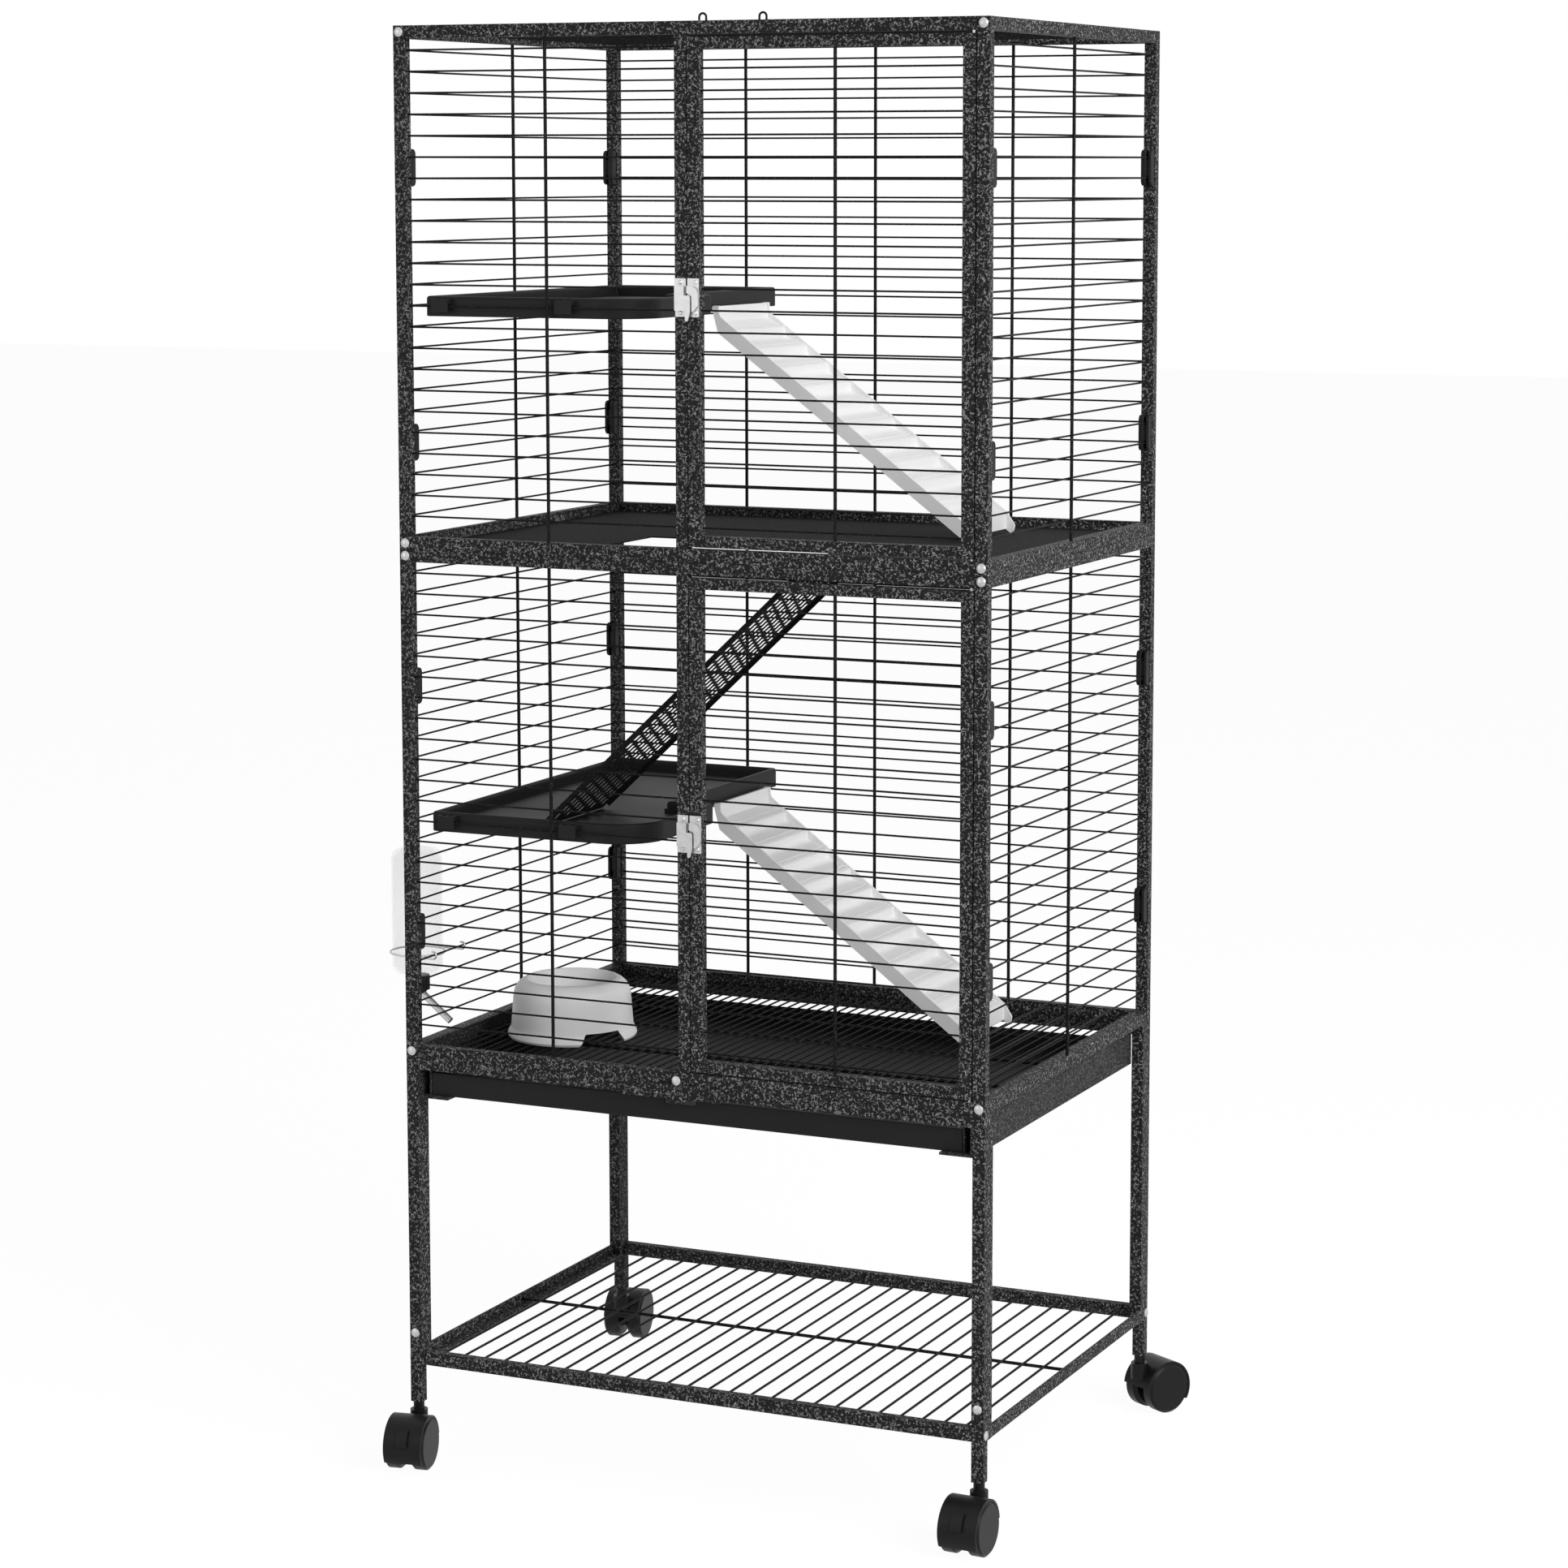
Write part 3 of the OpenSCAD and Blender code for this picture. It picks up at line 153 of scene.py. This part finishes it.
def grey(level):
    return (level, level, level, 1.0)


def tone(red, green, blue):
    return (red, green, blue, 1.0)


CURL_REACH = 1.9  # how far the curls wander, in cells
CURL_EDGES = (0.015, 0.1)  # where a curl's silver begins to fade, and where it ends
BREAKS_PER_CELL = 1.3
BREAK_LEVELS = (0.46, 0.57)  # of the noise, between which a curl comes into sight
GRAINS_PER_METRE = 1700


def veined_coat(name, cell, base, vein, amount):
    """Black powder coat with broken curls of silver, cell being the curls' size."""
    coat = Finish(name)
    place = coat.place()
    wander = coat.noise(place, 1 / cell, 1.0, out="Color")
    bent = coat.moved(place, wander, CURL_REACH * cell)
    edge = coat.node(
        "TexVoronoi",
        {"feature": "DISTANCE_TO_EDGE"},
        {"Vector": bent, "Scale": 1 / cell, "Randomness": 1.0},
    )
    broken = coat.step(coat.noise(place, BREAKS_PER_CELL / cell, 1.0), *BREAK_LEVELS)
    curls = (1 - coat.step(edge, *CURL_EDGES)) * broken
    grain = coat.noise(place, GRAINS_PER_METRE, 1.0)
    silver = curls * (0.55 + grain * 0.9) * amount
    return coat.surface(
        **{
            "Base Color": coat.blend(silver, base, vein),
            "Roughness": 0.62 - silver * 0.2,
            "Specular IOR Level": 0.1,
            "Normal": coat.bump(curls + grain * 0.3, 0.35, 0.15 * MM),
        }
    )


def speckled_coat(name, base, fleck, size, low, high, roughness):
    """A coat with small pale flecks of a size, seen where noise passes a level."""
    coat = Finish(name)
    place = coat.place()
    flecks = coat.step(coat.noise(place, 1 / size, 1.0), low, high)
    return coat.surface(
        **{
            "Base Color": coat.blend(flecks, base, fleck),
            "Roughness": roughness - flecks * 0.1,
            "Specular IOR Level": 0.07,
            "Normal": coat.bump(flecks, 0.2, 0.1 * MM),
        }
    )


def moulded(name, colour, dark, roughness, grain_size, relief, specular=0.4):
    """Moulded plastic with a fine grain and a faint unevenness of tone."""
    plastic = Finish(name)
    place = plastic.place()
    cloud = plastic.noise(place, 9, 3.0)
    grain = plastic.noise(place, 1 / grain_size, 2.0)
    return plastic.surface(
        **{
            "Base Color": plastic.blend(plastic.step(cloud, 0.3, 0.7), dark, colour),
            "Roughness": roughness - 0.06 + cloud * 0.12,
            "Specular IOR Level": specular,
            "Normal": plastic.bump(grain, relief, 0.1 * MM),
        }
    )


def plated(name, colour, roughness):
    """Bright zinc-plated steel with a soft grain."""
    steel = Finish(name)
    place = steel.place()
    cloud = steel.noise(place, 160, 3.0)
    return steel.surface(
        **{
            "Base Color": steel.blend(cloud, colour, grey(0.62)),
            "Metallic": 0.75,
            "Roughness": roughness - 0.08 + cloud * 0.16,
            "Normal": steel.bump(steel.noise(place, 900, 1.0), 0.08, 0.1 * MM),
        }
    )


def clear_plastic(name):
    """The thin clear wall of the bottle."""
    clear = Finish(name)
    place = clear.place()
    return clear.surface(
        **{
            "Base Color": grey(0.9),
            "Roughness": 0.08 + clear.noise(place, 60, 2.0) * 0.06,
            "Alpha": 0.07 + clear.noise(place, 25, 2.0) * 0.06,
        }
    )


MOULDED_BLACK = tone(0.011, 0.011, 0.012)
FINISHES = {
    "coat": veined_coat(
        "black_silver_vein_coat", cell=3.5 * MM, base=grey(0.012), vein=grey(0.33), amount=0.85
    ),
    "apron": veined_coat(
        "fine_vein_coat", cell=2.4 * MM, base=grey(0.013), vein=grey(0.2), amount=0.75
    ),
    "wire_coat": speckled_coat(
        "wire_powder_coat",
        base=grey(0.005),
        fleck=grey(0.05),
        size=1.4 * MM,
        low=0.55,
        high=0.8,
        roughness=0.55,
    ),
    "black_sheet": speckled_coat(
        "black_sheet_coat",
        base=grey(0.006),
        fleck=grey(0.035),
        size=0.9 * MM,
        low=0.52,
        high=0.75,
        roughness=0.8,
    ),
    "bright_steel": plated("bright_plated_steel", colour=grey(0.42), roughness=0.34),
    "black_plastic": moulded(
        "black_moulded_plastic",
        colour=MOULDED_BLACK,
        dark=grey(0.009),
        roughness=0.5,
        grain_size=0.4 * MM,
        relief=0.12,
        specular=0.14,
    ),
    "caster_plastic": moulded(
        "black_caster_plastic",
        colour=grey(0.008),
        dark=grey(0.006),
        roughness=0.4,
        grain_size=0.4 * MM,
        relief=0.06,
        specular=0.15,
    ),
    "pale_plastic": moulded(
        "pale_grey_plastic",
        colour=grey(0.80),
        dark=grey(0.77),
        roughness=0.45,
        grain_size=0.5 * MM,
        relief=0.05,
    ),
    "clear_plastic": clear_plastic("clear_bottle_plastic"),
}


def dress(piece, finish):
    """One finish all over a piece."""
    piece.data.materials.clear()
    piece.data.materials.append(FINISHES[finish])


SLOT_OF = {part["node"]: part["material_slot"] for part in frame["record"]["subparts"]}
for node, slot_name in SLOT_OF.items():
    for slot in NODES[node].material_slots:
        slot.material = FINISHES[slot_name]


# ---- shaping by hand ----

SMOOTH_BELOW = 35  # degrees between two faces that are shaded as one curve
WELD = 0.002 * MM  # vertices closer than this become one
FLAT = 0.3  # degrees between two faces that are merged into one
CORNER = 0.85  # cosine between two normals, below which their faces make a corner


def pick(piece):
    """Makes a piece the only one selected, and the active one."""
    bpy.ops.object.select_all(action="DESELECT")
    piece.select_set(True)
    bpy.context.view_layer.objects.active = piece


def smooth(piece):
    """Shades a piece as curved, apart from its sharp edges."""
    pick(piece)
    bpy.ops.object.shade_smooth_by_angle(angle=math.radians(SMOOTH_BELOW))


def apply_all(piece):
    """Applies every modifier of a piece."""
    pick(piece)
    for modifier in list(piece.modifiers):
        bpy.ops.object.modifier_apply(modifier=modifier.name)


def soften(piece, low, high, width):
    """Rounds off the corner edges that lie between two heights."""
    mesh = piece.data
    facing = {}
    for face in mesh.polygons:
        for key in face.edge_keys:
            facing.setdefault(key, []).append(face.normal.copy())
    pick(piece)
    bpy.ops.object.mode_set(mode="EDIT")
    bpy.ops.mesh.select_mode(type="EDGE")
    bpy.ops.mesh.select_all(action="DESELECT")
    bpy.ops.object.mode_set(mode="OBJECT")
    for edge in mesh.edges:
        level = all(low <= mesh.vertices[i].co.z <= high for i in edge.vertices)
        first, second = facing[edge.key][0], facing[edge.key][-1]
        edge.select = level and first.dot(second) < CORNER
    bpy.ops.object.mode_set(mode="EDIT")
    bpy.ops.mesh.bevel(offset=width, segments=4, clamp_overlap=False)
    bpy.ops.object.mode_set(mode="OBJECT")


def rounded(node, width, segments=2, sharp=32, finish=None, flats=True, rims=()):
    """A copy of a CAD node with its hard edges rounded off, shown in its place.

    Edges that turn by more than sharp degrees are rounded by width. With flats, the
    triangles of a flat face are merged first. rims holds (low, high, width) for the
    corner edges that get a rounding of their own before that.
    """
    pick(NODES[node])
    bpy.ops.object.duplicate()
    piece = bpy.context.object
    piece.parent = None
    piece.matrix_world = Matrix()
    piece.name = node + "_rounded"
    bpy.ops.object.mode_set(mode="EDIT")
    bpy.ops.mesh.select_all(action="SELECT")
    bpy.ops.mesh.remove_doubles(threshold=WELD)
    if flats:
        bpy.ops.mesh.dissolve_limited(angle_limit=math.radians(FLAT))
    bpy.ops.object.mode_set(mode="OBJECT")
    for low, high, rim_width in rims:
        soften(piece, low, high, rim_width)
    bevel = piece.modifiers.new("edges", "BEVEL")
    bevel.width = width
    bevel.segments = segments
    bevel.limit_method = "ANGLE"
    bevel.angle_limit = math.radians(sharp)
    apply_all(piece)
    smooth(piece)
    piece.modifiers.new("flat_faces_stay_flat", "WEIGHTED_NORMAL").keep_sharp = True
    apply_all(piece)
    if finish:
        dress(piece, finish)
    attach(piece, BODY_OF[node])
    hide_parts(node)


RIM_RADIUS = 2.7 * MM
FOOT_RADIUS = 1.2 * MM


def platform_rims(node):
    """The heights and radii of a platform's upper and lower edges."""
    heights = [vertex.co.z for vertex in NODES[node].data.vertices]
    low, high, near = min(heights), max(heights), 0.05 * MM
    return (high - near, high + near, RIM_RADIUS), (low - near, low + near, FOOT_RADIUS)


for storey in ("lower", "upper"):
    for node in ("posts", "bottom_rails", "top_rails", "door_frame"):
        rounded(f"{storey}_{node}", 0.7 * MM)
    node = f"{storey}_platform"
    rounded(node, 0.3 * MM, sharp=40, flats=False, rims=platform_rims(node))
    rounded(f"{storey}_ramp", 0.5 * MM, sharp=45, flats=False)
    for node in ("latch_strike", "latch_keeper", "latch_lever"):
        rounded(f"{storey}_{node}", 0.25 * MM)
for node in ("centre_stiles", "stand_legs", "stand_cross_rails", "shelf_rails", "tray_lock"):
    rounded(node, 0.6 * MM)
rounded("corner_clips", 0.8 * MM)
rounded("tray", 0.6 * MM)
rounded("tray_runners", 0.4 * MM, finish="apron")
rounded("food_bowl", 1.2 * MM, segments=3, sharp=40)
for corner in ("front_left", "front_right", "back_left", "back_right"):
    rounded(f"caster_hood_{corner}", 0.5 * MM)
    rounded(f"caster_wheels_{corner}", 0.6 * MM)


# ---- studio ----

CAMERA_AT = (1.6216, -3.4689, 1.2515)
CAMERA_DOWN = 7.016  # degrees
CAMERA_TURN = 24.249  # degrees, to the left
SENSOR_WIDTH = 36  # millimetres, like the lens
LENS = 91.23
LENS_SHIFT = (-0.0301, -0.0819)
FARTHEST_SEEN = 60


def camera_as_photographed():
    """The photograph's own viewpoint, solved from the posts and rails."""
    data = bpy.data.cameras.new("viewpoint")
    camera = bpy.data.objects.new("viewpoint", data)
    bpy.context.collection.objects.link(camera)
    camera.location = CAMERA_AT
    camera.rotation_euler = (math.radians(90 - CAMERA_DOWN), 0.0, math.radians(CAMERA_TURN))
    data.sensor_width = SENSOR_WIDTH
    data.lens = LENS
    data.shift_x, data.shift_y = LENS_SHIFT
    data.clip_end = FARTHEST_SEEN
    bpy.context.scene.camera = camera


def soft_box(name, place, aim, size, watts):
    """A square lamp at a place, turned to its aim."""
    data = bpy.data.lights.new(name, "AREA")
    data.shape = "SQUARE"
    data.size = size
    data.energy = watts
    lamp = bpy.data.objects.new(name, data)
    bpy.context.collection.objects.link(lamp)
    lamp.location = place
    lamp.rotation_euler = (Vector(aim) - Vector(place)).to_track_quat("-Z", "Y").to_euler()


def seen_directly(studio):
    """1 where a ray comes from the camera, a mirror-like surface or a clear one."""
    path = {
        name: studio.node("LightPath", out=name)
        for name in ("Is Camera Ray", "Is Glossy Ray", "Is Transmission Ray")
    }
    return path["Is Camera Ray"] | path["Is Glossy Ray"] | path["Is Transmission Ray"]


SHADE_LEVEL = 0.24  # of the world's light on surfaces, where seen white is 1


def white_world():
    """White where it is seen, and a low even light for the rest."""
    world = bpy.data.worlds.new("studio")
    bpy.context.scene.world = world
    studio = Finish("studio", world)
    level = SHADE_LEVEL + (1 - SHADE_LEVEL) * seen_directly(studio)
    glow = studio.node("Background", None, {"Color": grey(1.0), "Strength": level})
    studio.node("OutputWorld", None, {"Surface": glow})


FLOOR_SIZE = 40
FLOOR_WHITE_SHARE = 0.93  # the rest of the floor shows the shadow
FLOOR_GLOW = 1.03


def pale_floor():
    """White from the camera, with the object's shadow left on it."""
    bpy.ops.object.select_all(action="DESELECT")
    bpy.ops.mesh.primitive_plane_add(size=FLOOR_SIZE)
    floor = bpy.context.object
    floor.name = "studio_floor"
    paint = Finish("studio_floor")
    matt = paint.node("BsdfDiffuse", None, {"Color": grey(0.86)})
    white = paint.node("Emission", None, {"Color": grey(1.0), "Strength": FLOOR_GLOW})
    share = FLOOR_WHITE_SHARE * seen_directly(paint)
    both = paint.node("MixShader", None, {0: share, 1: matt, 2: white})
    paint.node("OutputMaterial", None, {"Surface": both})
    floor.data.materials.append(paint.holder)


camera_as_photographed()
white_world()
pale_floor()
soft_box("key", (3.3, -1.5, 2.3), (0, 0, 0.85), size=2.2, watts=150)
soft_box("fill", (-2.0, -2.8, 1.6), (0, 0, 0.7), size=2.0, watts=16)
soft_box("top", (0.3, 0.3, 3.6), (0, 0, 0.8), size=2.4, watts=20)

bpy.context.scene.view_settings.view_transform = "Standard"
